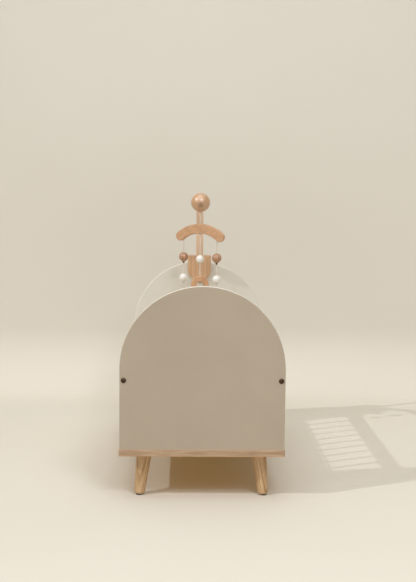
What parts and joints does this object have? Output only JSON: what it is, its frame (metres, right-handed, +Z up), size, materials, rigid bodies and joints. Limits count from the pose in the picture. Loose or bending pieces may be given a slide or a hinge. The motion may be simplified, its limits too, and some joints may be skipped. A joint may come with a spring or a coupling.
{
  "type": "doll bassinet",
  "caption": "Doll's bassinet: arched end panels, spindle sides, mattress and splayed turned legs, with a lift-off bead mobile hooked over the head end.",
  "frame": {"origin": "on the floor under the middle of the whole outline, bolt heads and mobile hook included", "axes": "+X to the right and +Y to the head end, seen from the foot end; +Z up"},
  "size_m": [0.282, 0.5918, 0.5145],
  "materials": {
    "painted_panel": "satin paint, greige outside, cream edges and inside",
    "birch_ply": "clear matt varnish, layered edge",
    "rail_wood": "clear satin varnish",
    "leg_wood": "clear satin varnish",
    "mobile_wood": "clear satin varnish",
    "ball_wood": "clear gloss lacquer",
    "bead_wood": "satin stain",
    "white_bead": "satin paint",
    "dark_bronze": "dark bronze coating",
    "steel": "zinc plated",
    "pad_felt": "matt",
    "mattress_cloth": "quilted cotton",
    "cotton_cord": "twisted cotton",
    "dark_thread": "waxed thread"
  },
  "bodies": {
    "cot": {"base_board": "birch_ply", "foot_end_panel": "painted_panel", "head_end_panel": "painted_panel", "left_side_rail": "rail_wood", "right_side_rail": "rail_wood", "left_spindles": "rail_wood", "right_spindles": "rail_wood", "foot_end_bolts": "dark_bronze", "head_end_bolts": "dark_bronze", "barrel_nuts": "steel", "panel_screws": "steel", "panel_dowels": "rail_wood", "foot_end_left_leg": "leg_wood", "foot_end_right_leg": "leg_wood", "head_end_left_leg": "leg_wood", "head_end_right_leg": "leg_wood", "leg_bolts": "steel", "leg_tee_nuts": "steel", "foot_pads": "pad_felt"},
    "mattress": {"mattress": "mattress_cloth"},
    "mobile": {"mobile_post": "mobile_wood", "clip_spacer": "mobile_wood", "clip_back_plate": "mobile_wood", "clip_screws": "steel", "mobile_arm": "mobile_wood", "mobile_ball": "ball_wood"},
    "hanger_sling": {"hanger_cord": "cotton_cord", "hanger_knot": "cotton_cord"},
    "hanger": {"hanger_arch": "mobile_wood"},
    "left_strand": {"left_cord": "cotton_cord", "left_knots": "dark_thread", "left_wood_bead": "bead_wood", "left_white_bead": "white_bead"},
    "right_strand": {"right_cord": "cotton_cord", "right_knots": "dark_thread", "right_wood_bead": "bead_wood", "right_white_bead": "white_bead"},
    "centre_strand": {"centre_cord": "cotton_cord", "centre_bead_knot": "cotton_cord", "centre_white_bead": "white_bead", "pendant_knot": "cotton_cord", "arch_pendant": "mobile_wood"}
  },
  "joints": [
    {"name": "mattress_lift", "type": "slide", "parent": "cot", "child": "mattress", "axis": [0, 0, 1], "range_m": [0, 0.15]},
    {"name": "mobile_lift", "type": "slide", "parent": "cot", "child": "mobile", "axis": [0, 0, 1], "range_m": [0, 0.06]},
    {"name": "hanger_sway", "type": "hinge", "parent": "mobile", "child": "hanger_sling", "pos_m": [0.0015, 0.1994, 0.4754], "axis": [0, 1, 0], "range_deg": [-20, 20]},
    {"name": "hanger_spin", "type": "hinge", "parent": "hanger_sling", "child": "hanger", "pos_m": [0.0015, 0.1994, 0.4495], "axis": [0, 0, 1], "continuous": true},
    {"name": "left_strand_swing", "type": "hinge", "parent": "hanger", "child": "left_strand", "pos_m": [-0.03314, 0.2194, 0.41663], "axis": [0.866, -0.5, 0], "range_deg": [-20, 20]},
    {"name": "right_strand_swing", "type": "hinge", "parent": "hanger", "child": "right_strand", "pos_m": [0.03614, 0.1794, 0.41663], "axis": [0.866, -0.5, 0], "range_deg": [-20, 20]},
    {"name": "centre_strand_swing", "type": "hinge", "parent": "hanger", "child": "centre_strand", "pos_m": [0.0015, 0.1994, 0.4226], "axis": [1, 0, 0], "range_deg": [-20, 20]}
  ]
}
